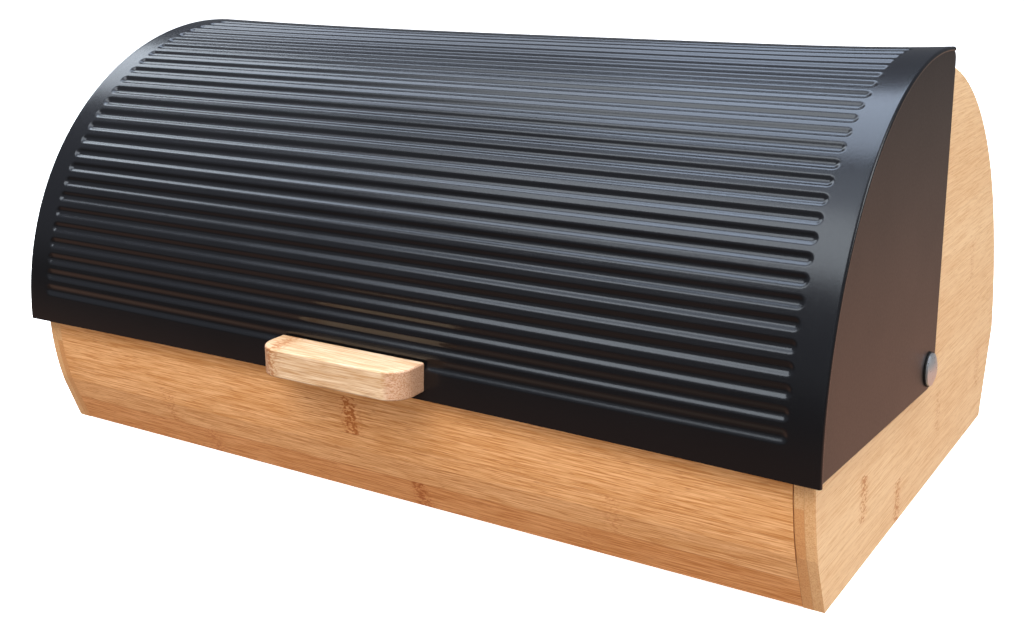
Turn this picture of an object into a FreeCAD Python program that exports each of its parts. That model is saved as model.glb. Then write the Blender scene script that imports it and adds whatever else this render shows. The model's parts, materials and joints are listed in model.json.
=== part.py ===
import FreeCAD, Part
import math
import os

V = FreeCAD.Vector

# Bread box with a roll top.  Millimetres, +Z up, the front faces -Y.
# Origin: below the middle of the closed box and its handle, on the surface it stands on.
# Angles round the lid are in degrees from the horizontal front direction, up and over.

# ---- lid -------------------------------------------------------------------------
LID_WIDTH = 400.0          # over the curved sheet
LID_RADIUS = 133.5         # outside of the curved sheet, centred on the pivot
SHEET = 0.8                # steel sheet thickness
LID_FRONT_ANGLE = -0.8     # lower front edge
LID_REAR_ANGLE = 96.4      # rear edge
LIP_DEPTH = 5.2            # inward folds along the front and rear edges
LIP_HALF_WIDTH = 186.5     # the folds pass between the side panels
END_LIP = 1.7              # the sheet's ends turn in by this much, outside included
END_ROUND = 1.1

GROOVES = 26
GROOVE_FIRST_ANGLE = 5.7
GROOVE_PITCH_ANGLE = 3.287
GROOVE_WIDTH = 5.6
GROOVE_DEPTH = 1.0
GROOVE_HALF_LENGTH = 188.0

CHEEK = 1.0                # thickness of the lid's side plates
CHEEK_SETBACK = 1.0        # cheek face behind the end of the sheet
CHEEK_GAP = 0.3            # between the cheek's rim and the sheet
CHEEK_BOSS_RADIUS = 9.2    # round end at the pivot
CHEEK_RIM_WIDTH = 7.5
CHEEK_BEND = 0.9           # outside of the bend between plate and rim
CHEEK_REAR_ANGLE = 98.75   # the cheek's upper rear corner, before rounding
CHEEK_CORNER_RADIUS = 4.5

# ---- wooden body -------------------------------------------------------------------
BODY_WIDTH = 391.4         # over the side panels
SIDE = 8.0                 # side panel thickness
SIDE_RADIUS = 126.4
FLANK_ANGLE = -15.8        # below this the front outline runs straight to the foot
FOOT_DEPTH = 112.3         # front foot, ahead of the pivot
REAR_ARC_ANGLE = 160.0     # beyond this the rear outline is flatter
REAR_DEPTH = 129.4         # rearmost point behind the pivot
REAR_DROP = 16.0           # and its height below the pivot
REAR_FOOT_DEPTH = 110.8
SIDE_BOTTOM = 0.5          # the side panels clear the table by this much
PIVOT_HEIGHT = 58.5

BASE = 8.0
BASE_BOTTOM = 4.0

FRONT_PROUD = 0.4          # front panel's face ahead of the side panels' edges
FRONT_BOTTOM = 0.9
FRONT_TOP = 63.5
FRONT_FOOT_THICKNESS = 6.5 # along Y at the foot; the convex face adds to it higher up

BACK_RADIUS = 124.0        # outside of the fixed curved back
BACK_STOP_REACH = 6.0      # outward fold that both ends of the lid's travel meet
STOP_GAP = 0.3
BACK_FLANGE = 12.0         # side flanges, screwed to the side panels
BACK_LIP = 14.0            # lower lip, screwed under the base

# ---- handle ------------------------------------------------------------------------
HANDLE_WIDTH = 74.0
HANDLE_DEPTH = 16.5        # out from the sheet
HANDLE_HEIGHT = 12.0
HANDLE_RISE = 3.1          # its underside above pivot height
HANDLE_CORNER = 10.0
HANDLE_EDGE = 0.8
HANDLE_SCREW_SPACING = 44.0
HANDLE_SCREW_ANGLE = 3.35

# ---- pivots --------------------------------------------------------------------------
BOLT_RADIUS = 2.5
BOLT_RUNNING_FIT = 0.06
HEAD_RADIUS = 6.9
HEAD_HEIGHT = 2.4
HEAD_WASHER = 0.5
HEAD_WASHER_RADIUS = 7.4
SPACER_RADIUS = 8.0
NUT_WASHER = 1.0
NUT_ACROSS_FLATS = 8.0

# ---- fixings and pads --------------------------------------------------------------
SCREW_RADIUS = 1.5
SCREW_HEAD_RADIUS = 2.9
DOWEL_RADIUS = 3.0
DOWEL_LENGTH = 24.0
DOWEL_IN_SIDE = 5.0
PAD_RADIUS = 8.0

HALF = LID_WIDTH / 2
BODY_HALF = BODY_WIDTH / 2
INNER_HALF = BODY_HALF - SIDE
CHEEK_OUT = HALF - CHEEK_SETBACK
CHEEK_IN = CHEEK_OUT - CHEEK
PIVOT_Y = (LID_RADIUS + HANDLE_DEPTH - REAR_DEPTH) / 2
PIVOT = V(0, PIVOT_Y, PIVOT_HEIGHT)
X_AXIS = V(1, 0, 0)


def polar(radius, angle, x=0.0):
    """Point at a radius and lid angle about the pivot axis."""
    a = math.radians(angle)
    return V(x, PIVOT_Y - radius * math.cos(a), PIVOT_HEIGHT + radius * math.sin(a))


def arc(radius, start, end, x=0.0):
    middle = (start + end) / 2
    return Part.Arc(polar(radius, start, x), polar(radius, middle, x), polar(radius, end, x)).toShape()


def x_cylinder(radius, x0, x1, at=PIVOT):
    return Part.makeCylinder(radius, x1 - x0, V(x0, at.y, at.z), X_AXIS)


def extrude(edges, x0, x1):
    """Close the edges, which lie in the plane X = 0, and sweep the face from x0 to x1."""
    face = Part.Face(Part.Wire(edges))
    face.translate(V(x0, 0, 0))
    return face.extrude(V(x1 - x0, 0, 0))


def sector(r_in, r_out, start, end, x0, x1):
    """Part of a ring about the pivot axis."""
    return extrude([
        arc(r_out, start, end),
        Part.makeLine(polar(r_out, end), polar(r_in, end)),
        arc(r_in, end, start),
        Part.makeLine(polar(r_in, start), polar(r_out, start)),
    ], x0, x1)


def degrees(length, radius):
    return math.degrees(length / radius)


def mirror_x(shape):
    return shape.mirror(V(0, 0, 0), X_AXIS)


# ---- lid -------------------------------------------------------------------------------
def groove_tool(angle, extra):
    """Round-ended bar that presses one groove; extra gives the inside of the sheet."""
    radius = GROOVE_WIDTH ** 2 / (8 * GROOVE_DEPTH) + GROOVE_DEPTH / 2
    centre = LID_RADIUS + radius - GROOVE_DEPTH
    half = GROOVE_HALF_LENGTH - GROOVE_WIDTH / 2
    at = polar(centre, angle)
    bar = x_cylinder(radius + extra, -half, half, at)
    ends = [Part.makeSphere(radius + extra, V(s * half, at.y, at.z), X_AXIS) for s in (-1, 1)]
    return bar.fuse(ends).removeSplitter()


def lid_sheet():
    """Grooved curved sheet with its front and rear edges folded inwards."""
    angles = [GROOVE_FIRST_ANGLE + i * GROOVE_PITCH_ANGLE for i in range(GROOVES)]
    inner = LID_RADIUS - SHEET
    lip_tip = inner - LIP_DEPTH
    fold = degrees(SHEET, LID_RADIUS)
    front, rear = LID_FRONT_ANGLE, LID_REAR_ANGLE
    outside = sector(lip_tip, LID_RADIUS, front, rear, -HALF, HALF)
    rims = [e for e in outside.Edges
            if e.BoundBox.XLength < 0.01 and e.BoundBox.ZMax > PIVOT_HEIGHT + LID_RADIUS - 0.1
            and len(e.Vertexes) == 2 and e.Length > 100]
    outside = outside.makeFillet(END_ROUND, rims)
    outside = outside.cut([groove_tool(a, 0) for a in angles])
    end = HALF - SHEET
    hollow = sector(lip_tip - 1, inner, front + fold, rear - fold, -end, end)
    hollow = hollow.cut([groove_tool(a, SHEET) for a in angles])
    ends = [sector(lip_tip - 1, inner, a - 2, a + 2, LIP_HALF_WIDTH, end) for a in (front, rear)]
    ends.append(sector(lip_tip - 1, LID_RADIUS - END_LIP, front - 2, rear + 2, end, HALF + 1))
    sheet = outside.cut(hollow).cut(ends + [mirror_x(e) for e in ends])
    return sheet.cut([screw_hole(x) for x in handle_screw_positions()])


def cheek_outline():
    """Quarter-round plate: arc under the sheet, straight lower and rear edges, round boss."""
    radius = LID_RADIUS - SHEET - CHEEK_GAP
    front = polar(radius, LID_FRONT_ANGLE)
    top = polar(radius, CHEEK_REAR_ANGLE)
    low = tangent_point(front, CHEEK_BOSS_RADIUS, 1)
    rear = tangent_point(top, CHEEK_BOSS_RADIUS, -1)
    middle = polar(CHEEK_BOSS_RADIUS, -135)
    return [
        arc(radius, LID_FRONT_ANGLE, CHEEK_REAR_ANGLE),
        Part.makeLine(top, rear),
        Part.Arc(rear, middle, low).toShape(),
        Part.makeLine(low, front),
    ]


def tangent_point(corner, radius, side):
    """Where the line from a corner touches the circle about the pivot."""
    arm = corner - PIVOT
    angle = math.atan2(arm.z, -arm.y) - side * math.acos(radius / arm.Length)
    return polar(radius, math.degrees(angle))


def lid_cheek():
    radius = LID_RADIUS - SHEET - CHEEK_GAP
    plate = extrude(cheek_outline(), CHEEK_IN, CHEEK_OUT)
    corner = [e for e in plate.Edges if is_x_edge_at(e, polar(radius, CHEEK_REAR_ANGLE))]
    plate = plate.makeFillet(CHEEK_CORNER_RADIUS, corner)
    corner = [e for e in plate.Edges if is_x_edge_at(e, polar(radius, LID_FRONT_ANGLE))]
    plate = plate.makeFillet(1.5, corner)
    bend = [e for e in plate.Edges
            if e.BoundBox.XLength < 0.01 and abs(e.BoundBox.XMin - CHEEK_OUT) < 0.01
            and e.BoundBox.ZMax > PIVOT_HEIGHT + radius - 0.1]
    plate = plate.makeFillet(CHEEK_BEND, bend)
    rim = sector(radius - CHEEK, radius, LID_FRONT_ANGLE + 2, LID_REAR_ANGLE - 5,
                 CHEEK_IN - CHEEK_RIM_WIDTH, CHEEK_IN + 0.1)
    hole = x_cylinder(BOLT_RADIUS + BOLT_RUNNING_FIT, CHEEK_IN - 1, CHEEK_OUT + 1)
    return plate.fuse(rim).removeSplitter().cut(hole)


def is_x_edge_at(edge, point):
    """True for an edge along X that passes through the point's Y and Z."""
    ends = [v.Point for v in edge.Vertexes]
    if len(ends) != 2 or abs(ends[0].x - ends[1].x) < 0.5:
        return False
    return all(math.hypot(p.y - point.y, p.z - point.z) < 0.01 for p in ends)


# ---- handle ----------------------------------------------------------------------------
def handle_screw_positions():
    return (-HANDLE_SCREW_SPACING / 2, HANDLE_SCREW_SPACING / 2)


def radial_cylinder(radius, r0, r1, angle, x):
    start = polar(r0, angle, x)
    end = polar(r1, angle, x)
    return Part.makeCylinder(radius, r1 - r0, start, end - start)


def screw_hole(x):
    return radial_cylinder(SCREW_RADIUS + 0.1, LID_RADIUS - 4, LID_RADIUS + 0.5, HANDLE_SCREW_ANGLE, x)


def handle():
    """Bar with two large rounded corners in plan, hollowed at the back to sit on the sheet."""
    z0 = PIVOT_HEIGHT + HANDLE_RISE
    half = HANDLE_WIDTH / 2
    face = PIVOT_Y - LID_RADIUS - HANDLE_DEPTH
    back = PIVOT_Y - LID_RADIUS + 4
    bar = Part.makeBox(HANDLE_WIDTH, back - face, HANDLE_HEIGHT, V(-half, face, z0))
    corners = [e for e in bar.Edges
               if len(e.Vertexes) == 2
               and abs(e.Vertexes[0].Z - e.Vertexes[1].Z) > 1
               and e.Vertexes[0].Y < face + 0.1]
    bar = bar.makeFillet(HANDLE_CORNER, corners)
    bar = bar.cut(x_cylinder(LID_RADIUS + 0.02, -half - 1, half + 1))
    rims = [e for e in bar.Edges
            if e.BoundBox.ZLength < 0.01 and e.BoundBox.YMin < PIVOT_Y - LID_RADIUS - 3]
    bar = bar.makeFillet(HANDLE_EDGE, rims)
    pilot = [radial_cylinder(SCREW_RADIUS, LID_RADIUS - 1, LID_RADIUS + 11, HANDLE_SCREW_ANGLE, x)
             for x in handle_screw_positions()]
    return bar.cut(pilot)


def handle_screws():
    screws = []
    for x in handle_screw_positions():
        shank = radial_cylinder(SCREW_RADIUS, LID_RADIUS - 2.2, LID_RADIUS + 10, HANDLE_SCREW_ANGLE, x)
        seat = LID_RADIUS - SHEET - 0.05
        head = radial_cylinder(2.4, seat - 1.85, seat, HANDLE_SCREW_ANGLE, x)
        screws.append(shank.fuse(head).removeSplitter())
    return Part.makeCompound(screws)


# ---- wooden body -----------------------------------------------------------------------
def relative(y, z):
    """Point given from the pivot axis."""
    return V(0, PIVOT_Y + y, PIVOT_HEIGHT + z)


def side_outline():
    """Round over the top, straight down to the front foot, fuller at the rear."""
    foot = relative(-FOOT_DEPTH, SIDE_BOTTOM - PIVOT_HEIGHT)
    knee = polar(SIDE_RADIUS, FLANK_ANGLE)
    join = polar(SIDE_RADIUS, REAR_ARC_ANGLE)
    rear = relative(REAR_DEPTH, -REAR_DROP)
    rear_foot = relative(REAR_FOOT_DEPTH, SIDE_BOTTOM - PIVOT_HEIGHT)
    return [
        Part.makeLine(foot, knee),
        arc(SIDE_RADIUS, FLANK_ANGLE, REAR_ARC_ANGLE),
        tangent_arc(join, REAR_ARC_ANGLE, rear),
        Part.makeLine(rear, rear_foot),
        Part.makeLine(rear_foot, foot),
    ]


def tangent_arc(start, angle, end):
    """Arc that leaves the big circle smoothly at a lid angle and reaches end."""
    a = math.radians(angle)
    radial = V(0, -math.cos(a), math.sin(a))
    chord = end - start
    radius = -chord.Length ** 2 / (2 * chord.dot(radial))
    centre = start - radial * radius
    middle = (start + end) * 0.5 - centre
    return Part.Arc(start, centre + middle.normalize() * radius, end).toShape()


def side_panel():
    panel = extrude(side_outline(), INNER_HALF, BODY_HALF)
    panel = panel.cut(x_cylinder(BOLT_RADIUS, INNER_HALF - 1, BODY_HALF + 1))
    rims = [e for e in panel.Edges if e.BoundBox.XLength < 0.01 and e.BoundBox.ZLength > 50]
    panel = panel.makeFillet(0.6, rims)
    holes = [x_cylinder(DOWEL_RADIUS, INNER_HALF - 1, INNER_HALF + DOWEL_IN_SIDE, p)
             for p in base_dowel_points() + front_dowel_points()]
    pilots = [x_cylinder(SCREW_RADIUS, INNER_HALF - 1, INNER_HALF + 6, p) for p in back_screw_points()]
    return panel.cut(holes + pilots)


def front_panel_solid():
    """Board with a convex face and a flat, leaning back."""
    radius = SIDE_RADIUS + FRONT_PROUD
    rise = math.degrees(math.asin((FRONT_TOP - PIVOT_HEIGHT) / radius))
    low = relative(-FOOT_DEPTH - FRONT_PROUD, FRONT_BOTTOM - PIVOT_HEIGHT)
    knee = polar(radius, FLANK_ANGLE)
    high = polar(radius, rise)
    lean = (high.y - low.y) / (high.z - low.z)
    back_low = V(0, low.y + FRONT_FOOT_THICKNESS, low.z)
    back_high = V(0, back_low.y + (high.z - low.z) * lean, high.z)
    return extrude([
        Part.makeLine(low, knee),
        arc(radius, FLANK_ANGLE, rise),
        Part.makeLine(high, back_high),
        Part.makeLine(back_high, back_low),
        Part.makeLine(back_low, low),
    ], -INNER_HALF, INNER_HALF)


def front_panel():
    panel = front_panel_solid()
    edges = [e for e in panel.Edges
             if e.BoundBox.XLength > 100 and e.BoundBox.ZMin > FRONT_TOP - 0.1]
    panel = panel.makeFillet(1.5, edges)
    return panel.cut(dowel_holes(front_dowel_points()))


def base_panel():
    drop = math.degrees(math.asin((PIVOT_HEIGHT - BASE_BOTTOM) / (BACK_RADIUS - SHEET)))
    rear = polar(BACK_RADIUS - SHEET, 180 + drop).y - 0.3
    front = PIVOT_Y - SIDE_RADIUS
    board = Part.makeBox(2 * INNER_HALF, rear - front, BASE, V(-INNER_HALF, front, BASE_BOTTOM))
    board = max(board.cut(front_panel_solid()).Solids, key=lambda s: s.Volume)
    return board.cut(dowel_holes(base_dowel_points()) + [lip_screw(x) for x in lip_screw_positions()])


def base_dowel_points():
    z = BASE_BOTTOM + BASE / 2
    return [V(0, PIVOT_Y + y, z) for y in (-75, 75)]


def front_dowel_points():
    return [relative(-115.6, -38.5), relative(-121.0, -14.5)]


def dowel_holes(points):
    holes = []
    for p in points:
        hole = x_cylinder(DOWEL_RADIUS, INNER_HALF + DOWEL_IN_SIDE - DOWEL_LENGTH, INNER_HALF + 1, p)
        holes += [hole, mirror_x(hole)]
    return holes


def dowels(points):
    pins = []
    end = INNER_HALF + DOWEL_IN_SIDE
    for p in points:
        pin = x_cylinder(DOWEL_RADIUS, end - DOWEL_LENGTH, end, p)
        pins += [pin, mirror_x(pin)]
    return Part.makeCompound(pins)


# ---- fixed curved back -------------------------------------------------------------------
def back_angles():
    lip = degrees(SHEET, LID_RADIUS)
    top = LID_REAR_ANGLE - lip - degrees(STOP_GAP, LID_RADIUS)
    drop = math.degrees(math.asin((PIVOT_HEIGHT - BASE_BOTTOM + SHEET) / BACK_RADIUS))
    return top, 180 + drop


def back_sheet():
    """Curved sheet with a stop fold at the top, side flanges and a lip under the base."""
    top, bottom = back_angles()
    fold = degrees(SHEET, LID_RADIUS)
    reach = BACK_RADIUS + BACK_STOP_REACH
    half = INNER_HALF - 0.05
    inner = BACK_RADIUS - SHEET
    curve = sector(inner, BACK_RADIUS, top - fold, bottom, -half, half)
    stop = sector(inner, reach, top - fold, top, -half + 1, half - 1)
    flange = sector(inner - BACK_FLANGE, inner + 0.1, top + 6, 180 + 22, half - SHEET, half)
    flange = flange.cut([x_cylinder(SCREW_RADIUS, half - 2, half + 1, p) for p in back_screw_points()])
    edge = polar(BACK_RADIUS, bottom)
    lip = Part.makeBox(2 * half - 4, BACK_LIP, SHEET,
                       V(-half + 2, edge.y - BACK_LIP, BASE_BOTTOM - SHEET))
    lip = lip.common(x_cylinder(BACK_RADIUS, -half, half))
    sheet = curve.fuse([stop, flange, mirror_x(flange), lip]).removeSplitter()
    return sheet.cut([lip_screw(x) for x in lip_screw_positions()])


def back_screw_points():
    radius = BACK_RADIUS - SHEET - BACK_FLANGE / 2
    return [polar(radius, a) for a in (115, 155, 195)]


def pan_screw(x_head, length):
    """Pan-head screw along +X, its head's bearing face at x_head."""
    shank = x_cylinder(SCREW_RADIUS, x_head - 0.5, x_head + length, V(0, 0, 0))
    head = x_cylinder(SCREW_HEAD_RADIUS, x_head - 1.8, x_head, V(0, 0, 0))
    rim = [e for e in head.Edges if e.BoundBox.XMax < x_head - 1.7]
    return head.makeFillet(0.9, rim).fuse(shank).removeSplitter()


def back_screws():
    screws = []
    for p in back_screw_points():
        screw = pan_screw(INNER_HALF - SHEET - 0.05, SHEET + 5.8)
        screw.translate(V(0, p.y, p.z))
        screws += [screw, mirror_x(screw)]
    return Part.makeCompound(screws)


def lip_screw_positions():
    return (-140, 0, 140)


def lip_screw_y():
    return polar(BACK_RADIUS, back_angles()[1]).y - 7.5


def lip_screw(x):
    return Part.makeCylinder(SCREW_RADIUS, 7.0, V(x, lip_screw_y(), BASE_BOTTOM - SHEET - 0.5), V(0, 0, 1))


def base_screws():
    screws = []
    for x in lip_screw_positions():
        top = BASE_BOTTOM - SHEET
        head = Part.makeCylinder(SCREW_HEAD_RADIUS, 1.8, V(x, lip_screw_y(), top - 1.8), V(0, 0, 1))
        rim = [e for e in head.Edges if e.BoundBox.ZMax < top - 1.7]
        screws.append(head.makeFillet(0.9, rim).fuse(lip_screw(x)).removeSplitter())
    return Part.makeCompound(screws)


# ---- pivots ------------------------------------------------------------------------------
def ring(outer, inner, x0, x1):
    return x_cylinder(outer, x0, x1).cut(x_cylinder(inner, x0 - 1, x1 + 1))


def head_face():
    return CHEEK_OUT + 0.2 + HEAD_WASHER


def pivot_bolt():
    """Low domed head outside the cheek, plain shank through to the nut."""
    x0 = head_face()
    dome_radius = (HEAD_RADIUS ** 2 + (HEAD_HEIGHT - 0.8) ** 2) / (2 * (HEAD_HEIGHT - 0.8))
    ball = Part.makeSphere(dome_radius, V(x0 + HEAD_HEIGHT - dome_radius, PIVOT_Y, PIVOT_HEIGHT))
    head = x_cylinder(HEAD_RADIUS, x0, x0 + HEAD_HEIGHT).common(ball)
    shank = x_cylinder(BOLT_RADIUS, INNER_HALF - NUT_WASHER - 5.0, x0 + 0.1)
    return head.fuse(shank).removeSplitter()


def head_washer():
    return ring(HEAD_WASHER_RADIUS, BOLT_RADIUS, head_face() - HEAD_WASHER, head_face())


def spacer_washer():
    return ring(SPACER_RADIUS, BOLT_RADIUS, BODY_HALF, CHEEK_IN - 0.2)


def nut_washer():
    return ring(6.5, BOLT_RADIUS, INNER_HALF - NUT_WASHER, INNER_HALF)


def cap_nut():
    """Hexagon with a domed cap, closed over the end of the bolt."""
    x1 = INNER_HALF - NUT_WASHER
    corner = NUT_ACROSS_FLATS / math.sqrt(3)
    points = [polar(corner, 60 * i) for i in range(7)]
    hexagon = Part.Face(Part.makePolygon(points))
    hexagon.translate(V(x1 - 4.0, 0, 0))
    nut = hexagon.extrude(V(4.0, 0, 0))
    cap = Part.makeSphere(3.7, V(x1 - 4.0, PIVOT_Y, PIVOT_HEIGHT))
    nut = nut.fuse(cap).removeSplitter()
    return nut.cut(x_cylinder(BOLT_RADIUS, x1 - 5.0, x1 + 1))


def anti_slip_pads():
    pads = []
    for x in (-165, 165):
        for y in (-85, 78):
            pad = Part.makeCylinder(PAD_RADIUS, BASE_BOTTOM, V(x, PIVOT_Y + y, 0))
            rim = [e for e in pad.Edges if e.BoundBox.ZMax < 0.01]
            pads.append(pad.makeFillet(0.6, rim))
    return Part.makeCompound(pads)


def nodes():
    parts = {
        "base_panel": base_panel(),
        "front_panel": front_panel(),
        "back_sheet": back_sheet(),
        "lid_sheet": lid_sheet(),
        "handle": handle(),
        "handle_screws": handle_screws(),
        "back_screws": back_screws(),
        "base_screws": base_screws(),
        "base_dowels": dowels(base_dowel_points()),
        "front_dowels": dowels(front_dowel_points()),
        "anti_slip_pads": anti_slip_pads(),
    }
    paired = {
        "side_panel": side_panel(),
        "lid_cheek": lid_cheek(),
        "pivot_bolt": pivot_bolt(),
        "head_washer": head_washer(),
        "spacer_washer": spacer_washer(),
        "nut_washer": nut_washer(),
        "cap_nut": cap_nut(),
    }
    for name, shape in paired.items():
        parts[name + "_right"] = shape
        parts[name + "_left"] = mirror_x(shape)
    return parts


os.makedirs("parts", exist_ok=True)
for node, shape in nodes().items():
    shape.exportStep("parts/" + node + ".step")
    print(node, len(shape.Solids), "solids", round(shape.Volume, 1), "mm3", shape.isValid())
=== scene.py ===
import json
import math
from collections import namedtuple

import bmesh
import bpy
import numpy as np
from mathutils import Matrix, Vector

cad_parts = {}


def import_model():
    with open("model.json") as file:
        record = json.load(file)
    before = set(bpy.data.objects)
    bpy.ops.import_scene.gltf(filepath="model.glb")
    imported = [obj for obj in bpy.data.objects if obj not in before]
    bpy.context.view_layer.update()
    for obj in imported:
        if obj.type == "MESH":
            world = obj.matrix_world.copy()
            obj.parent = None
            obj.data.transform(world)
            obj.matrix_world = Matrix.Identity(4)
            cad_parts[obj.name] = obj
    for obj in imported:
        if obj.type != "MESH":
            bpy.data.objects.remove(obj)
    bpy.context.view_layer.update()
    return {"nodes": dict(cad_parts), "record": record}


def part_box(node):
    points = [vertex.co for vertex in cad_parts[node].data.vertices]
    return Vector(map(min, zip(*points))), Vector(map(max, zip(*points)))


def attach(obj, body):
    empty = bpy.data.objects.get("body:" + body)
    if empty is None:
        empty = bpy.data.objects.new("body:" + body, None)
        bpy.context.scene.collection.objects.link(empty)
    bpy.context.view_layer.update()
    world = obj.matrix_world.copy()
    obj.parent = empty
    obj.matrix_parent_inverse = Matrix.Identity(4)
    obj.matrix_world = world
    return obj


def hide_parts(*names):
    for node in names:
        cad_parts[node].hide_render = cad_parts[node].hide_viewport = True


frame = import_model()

# All lengths are in metres. X runs along the box's width, its front is at -Y, and Z is up.

# ---- places taken from the frame --------------------------------------------------------------
JOINT = next(j for j in frame["record"]["behaviour"]["joints"] if j["name"] == "lid_roll")
PIVOT_Y, PIVOT_Z = JOINT["pos_m"][1], JOINT["pos_m"][2]
SHEET_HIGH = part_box("lid_sheet")[1]
LID_HALF = SHEET_HIGH[0]
LID_RADIUS = SHEET_HIGH[2] - PIVOT_Z
SIDE_LOW, SIDE_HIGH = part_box("side_panel_right")
BODY_HALF, INNER_HALF = SIDE_HIGH[0], SIDE_LOW[0]


# ---- colours and shader nodes -----------------------------------------------------------------
# the numbers of a Mix node's sockets for colours
MIX_SHARE, MIX_FIRST, MIX_SECOND, MIX_RESULT = 0, 6, 7, 2


def tinted(colour, tint):
    return tuple(min(1.0, c * t) for c, t in zip(colour, tint))


def shaded(colour, factor):
    return tinted(colour, (factor, factor, factor))


def with_alpha(value):
    return (*value, 1.0) if isinstance(value, tuple) else value


class Graph:
    """A new material, and short ways of adding nodes to it.
    A place is three sockets or numbers, and every other value is a socket or a number."""

    def __init__(self, name):
        self.material = bpy.data.materials.new(name)
        self.material.use_nodes = True
        self.tree = self.material.node_tree
        self.shader = self.tree.nodes["Principled BSDF"]

    def put(self, socket, value):
        if isinstance(value, bpy.types.NodeSocket):
            self.tree.links.new(value, socket)
        else:
            socket.default_value = value

    def node(self, kind, **settings):
        node = self.tree.nodes.new(kind)
        for name, value in settings.items():
            setattr(node, name, value)
        return node

    def filled(self, kind, *values, **settings):
        """Add a node, give its first inputs these values, and return its first output."""
        node = self.node(kind, **settings)
        for socket, value in zip(node.inputs, values):
            self.put(socket, value)
        return node.outputs[0]

    def math(self, operation, *values, clamp=False):
        return self.filled("ShaderNodeMath", *values, operation=operation, use_clamp=clamp)

    def vector(self, x, y, z):
        return self.filled("ShaderNodeCombineXYZ", x, y, z)

    def span(self, value, low, high, at_low=0.0, at_high=1.0):
        """A smooth step from at_low, where the value is low, to at_high, where it is high."""
        return self.filled("ShaderNodeMapRange", value, low, high, at_low, at_high,
                           interpolation_type="SMOOTHSTEP")

    def coordinates(self, kind):
        split = self.node("ShaderNodeSeparateXYZ")
        self.put(split.inputs[0], self.node("ShaderNodeTexCoord").outputs[kind])
        return tuple(split.outputs)

    def facing(self, axis):
        """How squarely the surface faces along an axis of its node, 0 to 1."""
        return self.math("ABSOLUTE", self.coordinates("Normal")["xyz".index(axis)])

    def scaled(self, place, along, across, seed):
        """A place times along on its first axis and across on the other two, moved by the seed."""
        factors = along, across, across
        return self.vector(*(self.math("MULTIPLY_ADD", p, f, seed) for p, f in zip(place, factors)))

    def noise(self, place, along, across=None, detail=2.0, rough=0.5, seed=0.0):
        """Cloudy noise, 0 to 1. along and across are its cells per metre, as in scaled()."""
        node = self.node("ShaderNodeTexNoise")
        self.put(node.inputs["Vector"], self.scaled(place, along, across or along, seed))
        node.inputs["Scale"].default_value = 1.0
        node.inputs["Detail"].default_value = detail
        node.inputs["Roughness"].default_value = rough
        return node.outputs["Fac"]

    def dots(self, place, along, across):
        """Distance to the nearest point of an irregular pattern of points."""
        node = self.node("ShaderNodeTexVoronoi")
        self.put(node.inputs["Vector"], self.scaled(place, along, across, 0.0))
        node.inputs["Scale"].default_value = 1.0
        return node.outputs["Distance"]

    def chance(self, *numbers):
        """A number from 0 to 1 that looks random and depends only on three others."""
        node = self.node("ShaderNodeTexWhiteNoise", noise_dimensions="3D")
        self.put(node.inputs["Vector"], self.vector(*numbers))
        return node.outputs["Value"]

    def mix(self, share, colour, other, blend="MIX"):
        node = self.node("ShaderNodeMix", data_type="RGBA", blend_type=blend, clamp_factor=True)
        self.put(node.inputs[MIX_SHARE], share)
        self.put(node.inputs[MIX_FIRST], with_alpha(colour))
        self.put(node.inputs[MIX_SECOND], with_alpha(other))
        return node.outputs[MIX_RESULT]

    def bump(self, height, strength, distance):
        node = self.node("ShaderNodeBump")
        node.inputs["Strength"].default_value = strength
        node.inputs["Distance"].default_value = distance
        self.put(node.inputs["Height"], height)
        return node.outputs[0]

    def finished(self, **values):
        """Fill the shader's inputs, named with _ for each space, and return the material."""
        for name, value in values.items():
            self.put(self.shader.inputs[name.replace("_", " ")], with_alpha(value))
        return self.material


# ---- bamboo -----------------------------------------------------------------------------------
# Noises: cells per metre along the grain and across it, with the detail and roughness.
GLUE_WANDER = dict(along=6, across=3, detail=1.0)
GLUE_BREAKS = dict(along=40, across=10, detail=2.0)
KNOT_TWIST = dict(along=260, across=260, detail=2.0)
CLOUDS = dict(along=9, across=38, detail=2.0, seed=3.0)
BROAD_STREAKS = dict(along=2.0, across=120, detail=3.0, rough=0.6)
FINE_STREAKS = dict(along=15, across=1050, detail=3.0, rough=0.62)
THREADS = dict(along=60, across=1900, detail=2.0, rough=0.55)
PORES = dict(along=170, across=2000, detail=1.0)
SPECKS = dict(along=480, across=950, detail=2.0, rough=0.6)
BUNDLES = dict(along=60, across=1150)

# How much each noise darkens the wood, and the range of their sum that goes from light to dark.
CLOUD_TONE, STRIP_TONE, BROAD_TONE, FINE_TONE = 0.35, 0.14, 0.38, 0.30
TONE_RANGE = (0.20, 0.82)

# Marks: the range of values over which they come or go, their strength, and their tint, which
# multiplies the colour of the dark fibres, or of the light ones for the pale threads.
Mark = namedtuple("Mark", "range strength tint")
DARK_THREAD = Mark((0.50, 0.64), 0.80, (0.80, 0.66, 0.48))
PALE_THREAD = Mark((0.48, 0.34), 0.46, (1.14, 1.18, 1.24))
PORE = Mark((0.60, 0.72), 0.40, (0.55, 0.42, 0.32))
KNOT_SPOT = Mark((0.54, 0.64), 1.3, (0.68, 0.46, 0.32))
GLUE_LINE = Mark((0.004, 0.018), 0.60, (0.55, 0.42, 0.30))
PLY_LINE = Mark((0.00006, 0.00025), 0.5, (0.5, 0.42, 0.35))
BUNDLE_END = Mark((0.16, 0.42), 0.55, (0.50, 0.36, 0.26))
KNOT_STAIN, KNOT_STAIN_TINT = 0.22, (0.90, 0.76, 0.60)
# the tint of the darker patches, used for darker pieces of the lamination and for painted shade
DARK_PIECE_AND_SHADE_TINT = (0.78, 0.55, 0.35)
END_GRAIN_TINT = (0.66, 0.55, 0.46)
END_GRAIN_FACING = (0.10, 0.45)

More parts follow.
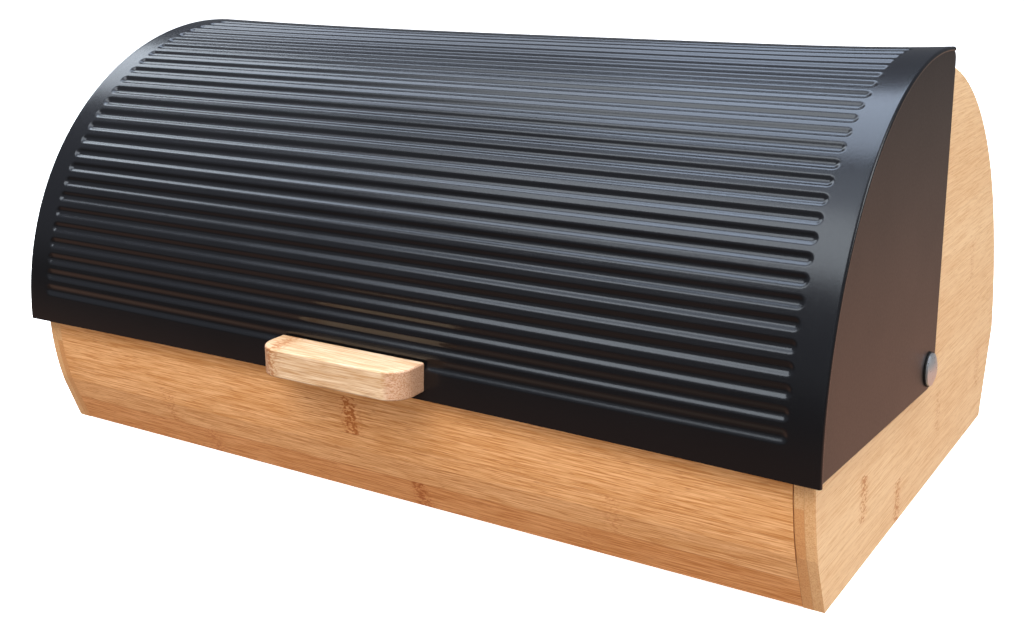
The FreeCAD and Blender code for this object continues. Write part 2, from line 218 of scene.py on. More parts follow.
# A knot's half width and the distance to the next in its strip, how far it bends the fibres, and
# how many more specks it has.
KNOT_WIDE, KNOT_EVERY = 0.0046, 0.30
KNOT_BEND, KNOT_SPECKS = 0.0016, 0.12
# How far the glue lines wander, and by what share of a strip the next ply's strips are moved.
GLUE_WANDER_BY, PLY_MOVE = 0.0012, 0.37
# These keep both faces of a board inside its plies.
PLY_SHRINK, PLY_MARGIN = 0.999, 0.0005
# These make each strip's tone, own knots and streaks differ.
TONE_SEED, KNOT_SEED, STREAK_SEEDS = 0.31, 7.77, 41.0

THREAD_DEPTH, FINE_DEPTH, KNOT_DEPTH, PORE_DEPTH = 0.5, 0.4, 0.2, 0.5
WOOD_BUMP = dict(strength=0.35, distance=0.00016)
WOOD_ROUGH, WOOD_ROUGHER, WOOD_SPECULAR = 0.38, 0.14, 0.35


def strip_layout(g, place, depth, strip, strip_from, ply):
    """Number the glued strips and plies: the strip, the share of it that lies below, the ply."""
    m = g.math
    wander = m("MULTIPLY", m("SUBTRACT", g.noise(place, **GLUE_WANDER), 0.5), GLUE_WANDER_BY)
    layer, shift = 0.0, 0.0
    if ply:
        face, thick = ply
        layer = m("FLOOR", m("MULTIPLY_ADD", m("SUBTRACT", face, depth), PLY_SHRINK / thick, PLY_MARGIN))
        shift = m("MULTIPLY", layer, PLY_MOVE)
    across = m("SUBTRACT", m("ADD", place[1], wander), strip_from)
    position = m("ADD", m("DIVIDE", across, strip), shift)
    index = m("FLOOR", position)
    return index, m("SUBTRACT", position, index), layer


def knot_nearness(g, along, index, start, own_knots, knots):
    """How near a knot is, 0 to 1. start moves a strip's own knots, by a share of the distance
    between them, and own_knots is their strength. knots are (along, strip, strength)."""
    m = g.math

    def bell(away):
        return m("EXPONENT", m("MULTIPLY", m("MULTIPLY", away, away), -1.0))

    turn = m("FRACT", m("ADD", m("DIVIDE", along, KNOT_EVERY), start))
    own = bell(m("MULTIPLY", m("SUBTRACT", turn, 0.5), KNOT_EVERY / KNOT_WIDE))
    near = m("MULTIPLY", own, own_knots)
    for at, strip, strength in knots:
        here = bell(m("DIVIDE", m("SUBTRACT", along, at), KNOT_WIDE))
        same_strip = m("LESS_THAN", m("ABSOLUTE", m("SUBTRACT", index, strip)), 0.5)
        near = m("MAXIMUM", near, m("MULTIPLY", m("MULTIPLY", here, strength), same_strip))
    return near


def bamboo(name, grain, across, light, dark, strip, strip_from=0.0, ply=None, knots=(), deep=1.0,
           own_knots=0.3, patches=(), end=END_GRAIN_TINT):
    """Laminated bamboo. Fibres run along the axis grain. Strips of the width strip are glued side
    by side along the axis across, and one of them starts at strip_from.
    light and dark are the fibres' colours, and deep is how strong their contrast is.
    ply is (outer face, thickness) of a board's plies, measured from the middle plane.
    knots are (along, across, strength), and own_knots is the strength of those that come by chance.
    patches are (axis, low, high, axis, low, high, strength): darker areas, where the axis "depth"
    is the distance from the middle plane. They stand for darker pieces of the lamination, and on the front
    panel partly for painted shade. end is the end grain's tint."""
    g = Graph(name)
    m = g.math
    axes = dict(zip("xyz", g.coordinates("Object")))
    third = ({"x", "y", "z"} - {grain, across}).pop()
    place = axes[grain], axes[across], axes[third]
    axes["depth"] = m("ABSOLUTE", axes[third])
    index, share, layer = strip_layout(g, place, axes["depth"], strip, strip_from, ply)
    strip_tone = g.chance(index, layer, TONE_SEED)
    listed = [(at, math.floor((level - strip_from) / strip), strength) for at, level, strength in knots]
    near = knot_nearness(g, place[0], index, g.chance(index, layer, KNOT_SEED), own_knots, listed)

    # the fibres: lines along the grain, which bend at the knots
    twist = m("SUBTRACT", g.noise(place, **KNOT_TWIST), 0.5)
    bend = m("MULTIPLY", m("MULTIPLY", near, KNOT_BEND), twist)
    bent = place[0], m("ADD", place[1], bend), place[2]
    seed = m("MULTIPLY", strip_tone, STREAK_SEEDS)
    fine = g.noise(bent, **FINE_STREAKS, seed=seed)
    threads = g.noise(bent, **THREADS, seed=seed)
    pores = g.span(g.noise(bent, **PORES, seed=seed), *PORE.range)
    tone = m("MULTIPLY_ADD", strip_tone, STRIP_TONE, -STRIP_TONE)
    tone = m("MULTIPLY_ADD", g.noise(place, **CLOUDS), CLOUD_TONE, tone)
    tone = m("MULTIPLY_ADD", g.noise(bent, **BROAD_STREAKS, seed=seed), BROAD_TONE, tone)
    tone = m("MULTIPLY_ADD", fine, FINE_TONE + FINE_TONE * deep, tone, clamp=True)
    colour = g.mix(g.span(tone, *TONE_RANGE), light, dark)

    def draw(mask, strength, tint, wood=dark):
        return g.mix(m("MULTIPLY", mask, strength), colour, tinted(wood, tint))

    colour = draw(g.span(threads, *DARK_THREAD.range), DARK_THREAD.strength * deep, DARK_THREAD.tint)
    colour = draw(g.span(threads, *PALE_THREAD.range), PALE_THREAD.strength * deep, PALE_THREAD.tint, light)
    colour = draw(pores, PORE.strength * deep, PORE.tint)

    # knots: a stain with dark spots
    specks = g.noise(place, **SPECKS, seed=seed)
    spots = g.span(m("ADD", specks, m("MULTIPLY", near, KNOT_SPECKS)), *KNOT_SPOT.range)
    colour = draw(near, KNOT_STAIN, KNOT_STAIN_TINT)
    colour = draw(spots, m("MULTIPLY", near, KNOT_SPOT.strength, clamp=True), KNOT_SPOT.tint)

    # glue lines between the strips, broken here and there, and darker patches: darker pieces of the
    # lamination, and painted shade where a call asks for it
    edge = m("MINIMUM", share, m("SUBTRACT", 1.0, share))
    glue = m("MULTIPLY", g.span(edge, *GLUE_LINE.range, 1.0, 0.0), g.noise(place, **GLUE_BREAKS))
    colour = draw(glue, GLUE_LINE.strength * deep, GLUE_LINE.tint)
    for axis, low, high, axis2, low2, high2, strength in patches:
        inside = m("MULTIPLY", m("GREATER_THAN", axes[axis], low), m("LESS_THAN", axes[axis], high))
        inside2 = m("MULTIPLY", m("GREATER_THAN", axes[axis2], low2), m("LESS_THAN", axes[axis2], high2))
        patch = g.mix(1.0, colour, DARK_PIECE_AND_SHADE_TINT, "MULTIPLY")
        colour = g.mix(m("MULTIPLY", m("MULTIPLY", inside, inside2), strength), colour, patch)

    # end grain: darker, with the fibre bundles as dots, and then the line between two plies
    end_grain = g.span(g.facing(grain), *END_GRAIN_FACING)
    colour = g.mix(end_grain, colour, g.mix(1.0, colour, end, "MULTIPLY"))
    bundles = g.span(g.dots(place, **BUNDLES), *BUNDLE_END.range, 1.0, 0.0)
    colour = draw(m("MULTIPLY", bundles, end_grain), BUNDLE_END.strength, BUNDLE_END.tint)
    if ply:
        gap = m("ABSOLUTE", m("SUBTRACT", axes["depth"], ply[0] - ply[1]))
        line = g.span(gap, *PLY_LINE.range, PLY_LINE.strength, 0.0)
        colour = g.mix(line, colour, tinted(dark, PLY_LINE.tint))

    height = m("MULTIPLY_ADD", fine, -FINE_DEPTH, m("MULTIPLY", near, -KNOT_DEPTH))
    height = m("MULTIPLY_ADD", threads, -THREAD_DEPTH, height)
    height = m("SUBTRACT", height, m("MULTIPLY", pores, PORE_DEPTH))
    rough = m("MULTIPLY_ADD", fine, WOOD_ROUGHER, m("MULTIPLY_ADD", pores, WOOD_ROUGHER, WOOD_ROUGH))
    return g.finished(Base_Color=colour, Roughness=rough, Normal=g.bump(height, **WOOD_BUMP),
                      Specular_IOR_Level=WOOD_SPECULAR)


# ---- painted and bare metal, plastic, rubber --------------------------------------------------
# Noises, as for the bamboo, but the same in all directions.
PEEL = dict(along=900)
COAT_GRAIN = dict(along=3600, detail=1.0)
COAT_PATCHES = dict(along=24, detail=3.0, rough=0.6)
COAT_DUST = dict(along=2100, detail=2.0, rough=0.6)
STAINS = dict(along=160, detail=3.0, rough=0.6)
MOTTLE = dict(along=500, detail=3.0, rough=0.6)
MOULDED_GRAIN = dict(along=2500)

# Colours, as a factor of the material's own.
COAT_SHADES, METAL_SHADE, MOULDED_SHADES = (0.85, 1.2), 0.86, (0.8, 1.25)
DUST_RANGE, DUST_SHARE, DUST_SHADE = (0.70, 0.78), 0.20, 3.0

# Roughness: what each noise adds to it, and their mean, which is taken off.
PATCH_ROUGH, PEEL_ROUGH, COAT_MEAN = 0.08, 0.10, 0.09
MARK_ROUGH, STAIN_ROUGH, METAL_MEAN = 0.16, 0.08, 0.12
MOTTLE_ROUGH, MOULDED_MEAN = 0.15, 0.07

GRAIN_HEIGHT = 0.4
COAT_BUMP = dict(strength=0.14, distance=0.00012)
METAL_BUMP = dict(strength=0.10, distance=0.00004)
MOULDED_BUMP = dict(strength=0.25, distance=0.0001)


def powder_coat(name, colour, rough):
    """Black paint with orange peel, a fine grain, faint patches and a little dust."""
    g = Graph(name)
    m = g.math
    place = g.coordinates("Object")
    peel = g.noise(place, **PEEL)
    patches = g.noise(place, **COAT_PATCHES)
    dust = g.span(g.noise(place, **COAT_DUST), *DUST_RANGE)
    base = g.mix(patches, *(shaded(colour, shade) for shade in COAT_SHADES))
    base = g.mix(m("MULTIPLY", dust, DUST_SHARE), base, shaded(colour, DUST_SHADE))
    roughness = m("MULTIPLY_ADD", peel, PEEL_ROUGH, rough - COAT_MEAN)
    roughness = m("MULTIPLY_ADD", patches, PATCH_ROUGH, roughness)
    height = m("MULTIPLY_ADD", g.noise(place, **COAT_GRAIN), GRAIN_HEIGHT, peel)
    return g.finished(Base_Color=base, Roughness=roughness, Normal=g.bump(height, **COAT_BUMP),
                      Specular_IOR_Level=0.5)


def metal(name, colour, rough, along=900, across=900, metallic=1.0):
    """Bare or plated metal with faint stains. along and across are the cells of its fine marks."""
    g = Graph(name)
    m = g.math
    place = g.coordinates("Object")
    marks = g.noise(place, along, across, detail=3.0, rough=0.6)
    stains = g.noise(place, **STAINS)
    base = g.mix(stains, shaded(colour, METAL_SHADE), colour)
    roughness = m("MULTIPLY_ADD", stains, STAIN_ROUGH, rough - METAL_MEAN)
    roughness = m("MULTIPLY_ADD", marks, MARK_ROUGH, roughness)
    return g.finished(Base_Color=base, Metallic=metallic, Roughness=roughness,
                      Normal=g.bump(marks, **METAL_BUMP))


def moulded(name, colour, rough):
    """Black plastic or rubber with a soft mottle and a fine grain."""
    g = Graph(name)
    place = g.coordinates("Object")
    mottle = g.noise(place, **MOTTLE)
    base = g.mix(mottle, *(shaded(colour, shade) for shade in MOULDED_SHADES))
    roughness = g.math("MULTIPLY_ADD", mottle, MOTTLE_ROUGH, rough - MOULDED_MEAN)
    return g.finished(Base_Color=base, Roughness=roughness,
                      Normal=g.bump(g.noise(place, **MOULDED_GRAIN), **MOULDED_BUMP))


# ---- the materials, and the nodes that get them -----------------------------------------------
PLY = 0.004
FRONT_WOOD = ((0.65, 0.370, 0.180), (0.49, 0.235, 0.084))
SIDE_WOOD = ((0.87, 0.655, 0.395), (0.75, 0.495, 0.265))
HANDLE_WOOD = ((0.57, 0.430, 0.295), (0.43, 0.280, 0.160))
DOWEL_WOOD = ((0.72, 0.52, 0.32), (0.55, 0.36, 0.19))
# ends of a patch that runs past the board
FAR_LOW, FAR_HIGH = -1.0, 1.0

# the front's patch darkens its bottom strip: partly a darker strip of the board, partly painted shade where
# the panel's lower part turns down, away from the light
front_wood = bamboo(
    "bamboo_front", "x", "z", *FRONT_WOOD, strip=0.0178, strip_from=PIVOT_Z - 0.0450,
    knots=[(-0.0080, PIVOT_Z - 0.018, 1.0), (-0.120, PIVOT_Z - 0.036, 0.45),
           (0.115, PIVOT_Z - 0.036, 0.35), (0.021, PIVOT_Z - 0.052, 0.95),
           (0.101, PIVOT_Z - 0.052, 0.30), (-0.098, PIVOT_Z - 0.052, 0.5)],
    own_knots=0.0, patches=[("z", FAR_LOW, PIVOT_Z - 0.0450, "x", FAR_LOW, FAR_HIGH, 0.50)])
side_wood = bamboo(
    "bamboo_side", "y", "z", *SIDE_WOOD, strip=0.0195, strip_from=PIVOT_Z - 0.0400,
    ply=(BODY_HALF, PLY), deep=0.55,
    knots=[(PIVOT_Y - 0.0713, PIVOT_Z - 0.030, 0.75), (PIVOT_Y - 0.0264, PIVOT_Z - 0.050, 0.7),
           (PIVOT_Y + 0.031, PIVOT_Z - 0.030, 0.4), (PIVOT_Y + 0.101, PIVOT_Z - 0.030, 0.4),
           (PIVOT_Y + 0.080, PIVOT_Z + 0.032, 0.35)],
    own_knots=0.1,
    patches=[("depth", INNER_HALF + 0.0002, INNER_HALF + PLY, "z", 0.0, PIVOT_Z - 0.014, 0.60)])
base_wood = bamboo("bamboo_base", "x", "y", *SIDE_WOOD, strip=0.0200)
handle_wood = bamboo("bamboo_handle", "x", "z", *HANDLE_WOOD, strip=0.060, strip_from=0.02,
                     knots=[(-0.029, 0.063, 0.8)], own_knots=0.0, end=(0.86, 0.76, 0.78))
dowel_wood = bamboo("dowel_wood", "x", "z", *DOWEL_WOOD, strip=0.2)
lid_paint = powder_coat("black_powder_coat", (0.0030, 0.0030, 0.0036), 0.232)
cheek_paint = powder_coat("black_powder_coat_side", (0.0070, 0.0066, 0.0064), 0.34)
back_paint = powder_coat("black_powder_coat_back", (0.0065, 0.0065, 0.0072), 0.40)
satin_steel = metal("satin_steel", (0.68, 0.70, 0.72), 0.30, metallic=0.82)
zinc = metal("zinc_plate", (0.62, 0.64, 0.68), 0.38, along=300, across=1500)
nylon = moulded("black_nylon", (0.012, 0.012, 0.012), 0.55)
rubber = moulded("pad_rubber", (0.035, 0.035, 0.035), 0.8)

PAINTED = (
    (front_wood, ("front_panel",)),
    (side_wood, ("side_panel_left", "side_panel_right")),
    (base_wood, ("base_panel",)),
    (handle_wood, ("handle",)),
    (dowel_wood, ("base_dowels", "front_dowels")),
    (lid_paint, ("lid_sheet",)),
    (cheek_paint, ("lid_cheek_left", "lid_cheek_right")),
    (back_paint, ("back_sheet",)),
    (satin_steel, ("pivot_bolt_left", "pivot_bolt_right", "cap_nut_left", "cap_nut_right")),
    (zinc, ("handle_screws", "back_screws", "base_screws", "nut_washer_left", "nut_washer_right")),
    (nylon, ("head_washer_left", "head_washer_right", "spacer_washer_left", "spacer_washer_right")),
    (rubber, ("anti_slip_pads",)),
)
for material, names in PAINTED:
    for name in names:
        data = frame["nodes"][name].data
        data.materials.clear()
        data.materials.append(material)


# ---- the curved lid sheet, with its pressed grooves -------------------------------------------
# Angles are measured round the pivot, from the front upwards. Depths go towards the pivot.
SHEET = 0.0008
FRONT_ANGLE, REAR_ANGLE = math.radians(-0.8), math.radians(96.4)
GROOVES, FIRST, PITCH = 26, math.radians(6.15), math.radians(3.287)
GROOVE_HALF, GROOVE_WIDE, GROOVE_DEEP = 0.188, 0.0058, 0.00100
# shares of half a groove's width: its flat bottom, and the slope beside it
GROOVE_FLAT, GROOVE_SLOPE = 0.10, 0.95

# the middle of the front edge stands higher, which fades out over an angle
FRONT_RISE, FRONT_RISE_OVER = 0.0014, math.radians(4)
# the rear edge pulls in between the side plates, and with a higher power closer to the plate
REAR_SAG, SAG_FROM, SAG_OVER = 0.0020, math.radians(60), math.radians(35)
SAG_POWER_RIGHT, SAG_POWER_LEFT = 7.0, 2.5

# the sheet's left and right ends turn in round a small radius, and their cut edge is blunted
END_ROUND, END_DEPTH, END_TURNS = 0.0011, 0.0017, 7
END_BLUNT_X, END_BLUNT_DEPTH = 0.0001, 0.00015
# the inner skin's turn: how far from its end face, and how deep below its top
INNER_TURN = ((0.00004, 0.0001), (0.0, 0.0003))

# rows round the lid, and columns across it with the places where their spacing changes
ROWS_PER_GROOVE, ROWS_BESIDE, ROWS_MARGIN = 26, 8, 0.62
COLUMNS_MIDDLE, COLUMNS_GROOVE_END, COLUMNS_BESIDE = 40, 34, 5
MIDDLE_STOPS, GROOVE_END_STARTS, GROOVE_END_STOPS, BESIDE_STARTS = 0.008, 0.004, 0.0012, 0.003

# the folds along the front and rear edges
FOLD_HALF, FOLD_DEPTH, FOLD_BLUNT, FOLD_COLUMNS = 0.1865, 0.0052, 0.0002, 41
FOLD_ROOT = ((SHEET, 0.0011), (0.0012, 0.0004), (0.0022, 0.0))
FOLD_OVERLAP = 0.00005
SHARP = math.radians(38)


def groove(x, angle):
    """How far the sheet is pressed in, 0 to 1: a trough with soft shoulders and round ends."""
    number = np.clip(np.round((angle - FIRST) / PITCH), 0, GROOVES - 1)
    off = (angle - FIRST - number * PITCH) * LID_RADIUS
    past = np.maximum(np.abs(x) - (GROOVE_HALF - GROOVE_WIDE / 2), 0)
    slope = np.clip((np.hypot(off, past) / (GROOVE_WIDE / 2) - GROOVE_FLAT) / GROOVE_SLOPE, 0, 1)
    return 0.5 + 0.5 * np.cos(math.pi * slope)


def sag(x, angle):
    """How far the unsupported rear edge pulls in between the two side plates."""
    t = np.clip((angle - SAG_FROM) / SAG_OVER, 0, 1)
    power = np.where(x > 0, SAG_POWER_RIGHT, SAG_POWER_LEFT)
    return REAR_SAG * (1 - (np.abs(x) / LID_HALF) ** power) * t * t * (3 - 2 * t)


def front_rise(x, share):
    """The angle by which the front edge stands higher, times a share."""
    return FRONT_RISE * (1 - (x / LID_HALF) ** 2) * share / LID_RADIUS


def sheet_angles():
    """The rows: close together over the grooves, and a few on either side of them."""
    first = FIRST - PITCH * ROWS_MARGIN
    last = FIRST + (GROOVES - 1) * PITCH + PITCH * ROWS_MARGIN
    before = np.linspace(FRONT_ANGLE, first, ROWS_BESIDE, endpoint=False)
    after = np.linspace(last, REAR_ANGLE, ROWS_BESIDE)
    return np.concatenate([before, np.arange(first, last, PITCH / ROWS_PER_GROOVE), after])


def sheet_columns():
    """The columns: close together where the grooves end."""
    end = GROOVE_HALF - GROOVE_WIDE
    groove_end = np.linspace(end - GROOVE_END_STARTS, GROOVE_HALF + GROOVE_END_STOPS, COLUMNS_GROOVE_END)
    beside = np.linspace(GROOVE_HALF + BESIDE_STARTS, LID_HALF - END_ROUND, COLUMNS_BESIDE)
    outer = np.concatenate([groove_end, beside])
    middle = np.linspace(-(end - MIDDLE_STOPS), end - MIDDLE_STOPS, COLUMNS_MIDDLE)
    return np.concatenate([-outer[::-1], middle, outer])


def end_profile(inner):
    """The turned end of the sheet's outer or inner skin: (x, depth) pairs after the last column."""
    if inner:
        face, blunt = LID_HALF - SHEET, END_BLUNT_X
        turn = [(face - x, SHEET + depth) for x, depth in INNER_TURN]
    else:
        face, blunt = LID_HALF, -END_BLUNT_X
        turn = [(LID_HALF - END_ROUND + END_ROUND * math.sin(a), END_ROUND - END_ROUND * math.cos(a))
                for a in np.linspace(math.pi / (2 * END_TURNS), math.pi / 2, END_TURNS)]
    return turn + [(face, END_DEPTH - END_BLUNT_DEPTH), (face + blunt, END_DEPTH)]


def skin(xs, angles, inset, end):
    """The points of one skin of the sheet, in rows round the lid."""
    across = np.concatenate([[-e[0] for e in end[::-1]], xs, [e[0] for e in end]])
    depth = np.concatenate([[e[1] for e in end[::-1]], np.full(len(xs), inset), [e[1] for e in end]])
    x, angle = np.meshgrid(across, angles)
    rise = front_rise(x, np.clip(1 - (angle - FRONT_ANGLE) / FRONT_RISE_OVER, 0, 1))
    radius = LID_RADIUS - depth[None, :] - GROOVE_DEEP * groove(x, angle) - sag(x, angle)
    turned = angle + rise
    return np.stack([x, PIVOT_Y - radius * np.cos(turned), PIVOT_Z + radius * np.sin(turned)], -1)


def lid_mesh():
    """The sheet as a closed mesh: an outer and an inner skin, joined along the four edges."""
    xs, angles = sheet_columns(), sheet_angles()
    outer_end, inner_end = end_profile(False), end_profile(True)
    skins = skin(xs, angles, 0.0, outer_end), skin(xs, angles, SHEET, inner_end)
    rows = len(angles)
    outer_count, inner_count = skins[0].shape[1], skins[1].shape[1]
    outer = np.arange(rows * outer_count).reshape(rows, outer_count)
    inner = np.arange(rows * inner_count).reshape(rows, inner_count) + rows * outer_count
    quads = [np.stack([s[:-1, :-1], s[:-1, 1:], s[1:, 1:], s[1:, :-1]], -1).reshape(-1, 4)
             for s in (outer, inner)]
    for c in (0, -1):
        quads.append(np.stack([outer[:-1, c], outer[1:, c], inner[1:, c], inner[:-1, c]], -1))
    outer_turn, inner_turn = len(outer_end), len(inner_end)
    for r in (0, -1):
        a, b = outer[r, outer_turn:-outer_turn], inner[r, inner_turn:-inner_turn]
        quads.append(np.stack([a[:-1], a[1:], b[1:], b[:-1]], -1))
    faces = np.concatenate(quads).tolist()
    # at the four corners, one face closes the turned end
    for r in (0, -1):
        faces.append(outer[r, :outer_turn + 1].tolist() + inner[r, :inner_turn + 1][::-1].tolist())
        faces.append(outer[r, -outer_turn - 1:].tolist() + inner[r, -inner_turn - 1:][::-1].tolist())
    mesh = bpy.data.meshes.new("lid_sheet_pressed")
    mesh.from_pydata(np.concatenate([s.reshape(-1, 3) for s in skins]).tolist(), [], faces)
    return mesh


def add_fold(bm, at_front):
    """The folded front or rear edge: a strip that turns in through a small radius."""
    sign = 1 if at_front else -1
    edge = FRONT_ANGLE if at_front else REAR_ANGLE
    profile = [(0.0, 0.0), (0.0, FOLD_DEPTH - FOLD_BLUNT), (FOLD_BLUNT, FOLD_DEPTH),
               (SHEET - FOLD_BLUNT, FOLD_DEPTH), (SHEET, FOLD_DEPTH - FOLD_BLUNT), *FOLD_ROOT]
    rings = []
    for x in np.linspace(-FOLD_HALF, FOLD_HALF, FOLD_COLUMNS):
        rise = front_rise(x, 1.0) if at_front else 0.0
        drop = float(sag(np.array(x), np.array(edge)))
        ring = []
        for along, depth in profile:
            radius = LID_RADIUS - SHEET - depth - drop + FOLD_OVERLAP
            angle = edge + rise + sign * along / LID_RADIUS
            point = (x, PIVOT_Y - radius * math.cos(angle), PIVOT_Z + radius * math.sin(angle))
            ring.append(bm.verts.new(point))
        rings.append(ring)
    for left, right in zip(rings, rings[1:]):
        for i in range(len(profile)):
            j = (i + 1) % len(profile)
            bm.faces.new((left[i], left[j], right[j], right[i]))
    bm.faces.new(rings[0])
    bm.faces.new(rings[-1][::-1])


def build_lid():
    mesh = lid_mesh()
    bm = bmesh.new()
    bm.from_mesh(mesh)
    add_fold(bm, True)
    add_fold(bm, False)
    bmesh.ops.recalc_face_normals(bm, faces=bm.faces)
    for face in bm.faces:
        face.smooth = True
    for edge in bm.edges:
        if len(edge.link_faces) == 2 and edge.calc_face_angle(0) > SHARP:
            edge.smooth = False
    bm.to_mesh(mesh)
    bm.free()
    obj = bpy.data.objects.new("lid_sheet_pressed", mesh)
    bpy.context.scene.collection.objects.link(obj)
    mesh.materials.append(lid_paint)
    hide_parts("lid_sheet")
    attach(obj, "lid")


build_lid()

# a hair of rounding on the cut edges of the plates and boards, so that they catch the light
ROUNDED = (("lid_cheek_left", 0.0003), ("lid_cheek_right", 0.0003), ("front_panel", 0.0004),
           ("base_panel", 0.0005), ("back_sheet", 0.00025))
for name, width in ROUNDED:
    rounding = frame["nodes"][name].modifiers.new("edge", "BEVEL")
    rounding.width = width
    rounding.segments = 2
    rounding.limit_method = "ANGLE"
    rounding.angle_limit = math.radians(50)
    rounding.harden_normals = True


# ---- floor and backdrop -----------------------------------------------------------------------
FLOOR_SIZE, FLOOR_GLOW = 30, 0.85
FLOOR_COLOURS = ((0.91, 0.91, 0.91), (0.94, 0.94, 0.94))
BACKDROP_RADIUS = 14.5
WHITE, BLACK = (1.0, 1.0, 1.0), (0.0, 0.0, 0.0)


def staged(obj, name, material, shadow=True):
    """Name and finish something that isn't part of the object. The camera sees it, but the object
    neither mirrors it nor takes light from it. shadow says whether it casts one."""
    obj.name = name
    obj.data.materials.append(material)
    obj.visible_glossy = False
    obj.visible_diffuse = False
    obj.visible_shadow = shadow


def floor_and_backdrop():
    bpy.ops.mesh.primitive_grid_add(x_subdivisions=8, y_subdivisions=8, size=FLOOR_SIZE)
    g = Graph("pale_floor")
    base = g.mix(g.noise(g.coordinates("Object"), along=3, detail=3.0), *FLOOR_COLOURS)
    pale = g.finished(Base_Color=base, Roughness=0.9, Specular_IOR_Level=0.1,
                      Emission_Color=WHITE, Emission_Strength=FLOOR_GLOW)
    staged(bpy.context.object, "floor", pale)
    bpy.ops.mesh.primitive_uv_sphere_add(segments=48, ring_count=24, radius=BACKDROP_RADIUS)
    g = Graph("pale_backdrop")
    white = g.finished(Base_Color=BLACK, Specular_IOR_Level=0.0,
                       Emission_Color=WHITE, Emission_Strength=1.0)
    staged(bpy.context.object, "backdrop", white, shadow=False)


# ---- light ------------------------------------------------------------------------------------
# The world's colours by the height of the direction, from straight down, 0, to straight up, 1.
WORLD_STOPS = (
    (0.0, (0.70, 0.56, 0.46)),
    (0.20, (0.80, 0.48, 0.35)),
    (0.33, (0.86, 0.47, 0.34)),
    (0.41, (0.44, 0.33, 0.28)),
    (0.465, (0.15, 0.15, 0.155)),
    (0.56, (0.15, 0.16, 0.18)),
    (0.66, (0.145, 0.158, 0.19)),
    (0.76, (0.16, 0.176, 0.212)),
    (1.0, (0.40, 0.45, 0.55)),
)
# Its strength is ABOVE_HORIZON times IN_FRONT, plus BASE_STRENGTH. So it is 1 behind the box, and
# in front of it low below the horizon and higher above. Each is (from, to, value, value) of the
# direction's Z, or of its Y in the last two.
ABOVE_HORIZON = (-0.02, 0.18, 0.0, 1.4)
IN_FRONT = (-0.7, 0.2, 1.0, 0.0)
BASE_STRENGTH = (-0.7, 0.2, 0.30, 1.0)


def world():
    """A warm table below, a dim room around it and a paler ceiling overhead."""
    room = bpy.data.worlds.new("studio")
    bpy.context.scene.world = room
    room.use_nodes = True
    tree = room.node_tree
    background = tree.nodes["Background"]
    split = tree.nodes.new("ShaderNodeSeparateXYZ")
    tree.links.new(tree.nodes.new("ShaderNodeTexCoord").outputs["Generated"], split.inputs[0])
    backwards, upwards = split.outputs[1], split.outputs[2]

    def ranged(socket, *limits):
        node = tree.nodes.new("ShaderNodeMapRange")
        tree.links.new(socket, node.inputs[0])
        for place, value in zip(node.inputs[1:5], limits):
            place.default_value = value
        return node.outputs[0]

    by_height = tree.nodes.new("ShaderNodeValToRGB")
    stops = by_height.color_ramp.elements
    for stop, (position, colour) in zip(stops, (WORLD_STOPS[0], WORLD_STOPS[-1])):
        stop.position = position
        stop.color = (*colour, 1)
    for position, colour in WORLD_STOPS[1:-1]:
        stops.new(position).color = (*colour, 1)
    tree.links.new(ranged(upwards, -1.0, 1.0, 0.0, 1.0), by_height.inputs[0])
    tree.links.new(by_height.outputs[0], background.inputs[0])

    strength = tree.nodes.new("ShaderNodeMath")
    strength.operation = "MULTIPLY_ADD"
    tree.links.new(ranged(upwards, *ABOVE_HORIZON), strength.inputs[0])
    tree.links.new(ranged(backwards, *IN_FRONT), strength.inputs[1])
    tree.links.new(ranged(backwards, *BASE_STRENGTH), strength.inputs[2])
    tree.links.new(strength.outputs[0], background.inputs[1])


def area(name, place, aim, size, power, colour, glossy=True, diffuse=True):
    """A rectangle of light: its width and height, its power in watts, and whether it shows in
    reflections and lights matt surfaces."""
    data = bpy.data.lights.new(name, "AREA")
    data.shape = "RECTANGLE"
    data.size, data.size_y = size
    data.energy = power
    data.color = colour
    obj = bpy.data.objects.new(name, data)
    bpy.context.scene.collection.objects.link(obj)
    obj.location = place
    obj.rotation_euler = (Vector(aim) - Vector(place)).to_track_quat("-Z", "Y").to_euler()
    obj.visible_camera = False
    obj.visible_glossy = glossy
    obj.visible_diffuse = diffuse


floor_and_backdrop()
world()

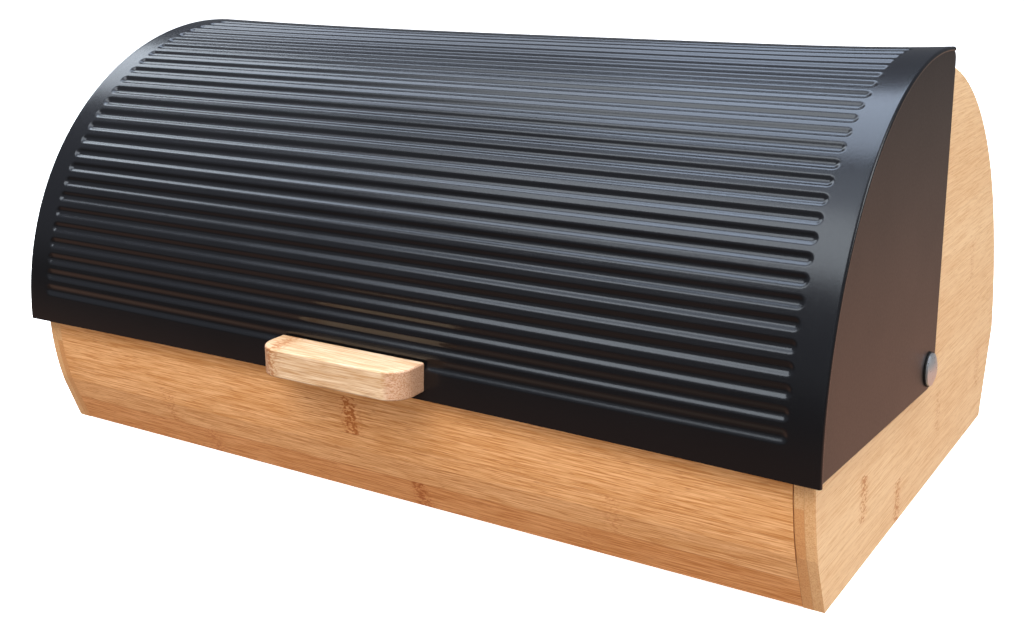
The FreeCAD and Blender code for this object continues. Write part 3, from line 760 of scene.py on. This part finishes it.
# what the lid mirrors: bright parts of a ceiling, a window and something pale on the right
area("ceiling_left", (-1.70, 0.40, 1.30), (-1.70, 0.40, 0.0), (1.0, 0.85), 12, (0.81, 0.90, 1.0))
area("ceiling_middle", (-0.85, 0.33, 1.30), (-0.85, 0.33, 0.0), (0.7, 0.55), 5.2, (0.72, 0.83, 1.0))
area("ceiling_front", (-0.52, -0.40, 1.30), (-0.52, -0.40, 0.0), (1.1, 0.38), 2.1, (0.74, 0.84, 1.0))
area("ceiling_right", (-0.12, 0.34, 1.30), (-0.12, 0.34, 0.0), (0.9, 0.80), 12.5, (0.66, 0.79, 1.0))
area("window_strip", (-0.32, -0.92, 1.30), (-0.25, -0.60, 0.1), (1.2, 0.66), 10.5, (0.84, 0.92, 1.0))
area("right_strip", (1.35, 0.30, 0.90), (0.2, 0.0, 0.12), (0.5, 0.9), 7, (0.95, 0.98, 1.0),
     diffuse=False)
# soft light from above, in front and the right, which shows in no reflection
area("top_fill", (0.1, 0.1, 1.9), (0, 0, 0.1), (1.6, 1.6), 38, (1.0, 0.98, 0.95), glossy=False)
area("front_key", (0.28, -1.15, 1.25), (0.02, 0, 0.05), (1.1, 0.9), 28, (1.0, 0.97, 0.93), glossy=False)
area("front_fill", (0.4, -1.8, 0.35), (0, 0, 0.05), (2.0, 0.6), 20, (1.0, 0.96, 0.90), glossy=False)
area("right_fill", (1.8, -0.1, 0.8), (0.1, 0, 0.08), (1.4, 1.0), 18, (1.0, 0.98, 0.96), glossy=False)


# ---- camera, as fitted to the photograph's straight edges and circles -------------------------
LENS_MM, SENSOR_MM = 47.68, 36.0
SHIFT_X, SHIFT_Y = 0.0181, -0.1206
# the eye from the pivot's line in Y and from the floor in Z, for a pivot this high
EYE_X, EYE_Y, EYE_Z, FITTED_PIVOT_Z = 0.33964, -0.54683, 0.24938, 0.0579
EYE_TURN = (78.113, 1.1026, 32.704)

camera = bpy.data.cameras.new("camera")
camera.sensor_width = SENSOR_MM
camera.lens = LENS_MM
camera.shift_x, camera.shift_y = SHIFT_X, SHIFT_Y
camera.clip_start, camera.clip_end = 0.01, 60
eye = bpy.data.objects.new("camera", camera)
bpy.context.scene.collection.objects.link(eye)
eye.location = (EYE_X, PIVOT_Y + EYE_Y, PIVOT_Z - FITTED_PIVOT_Z + EYE_Z)
eye.rotation_euler = [math.radians(angle) for angle in EYE_TURN]
bpy.context.scene.camera = eye
bpy.context.scene.view_settings.view_transform = "Standard"
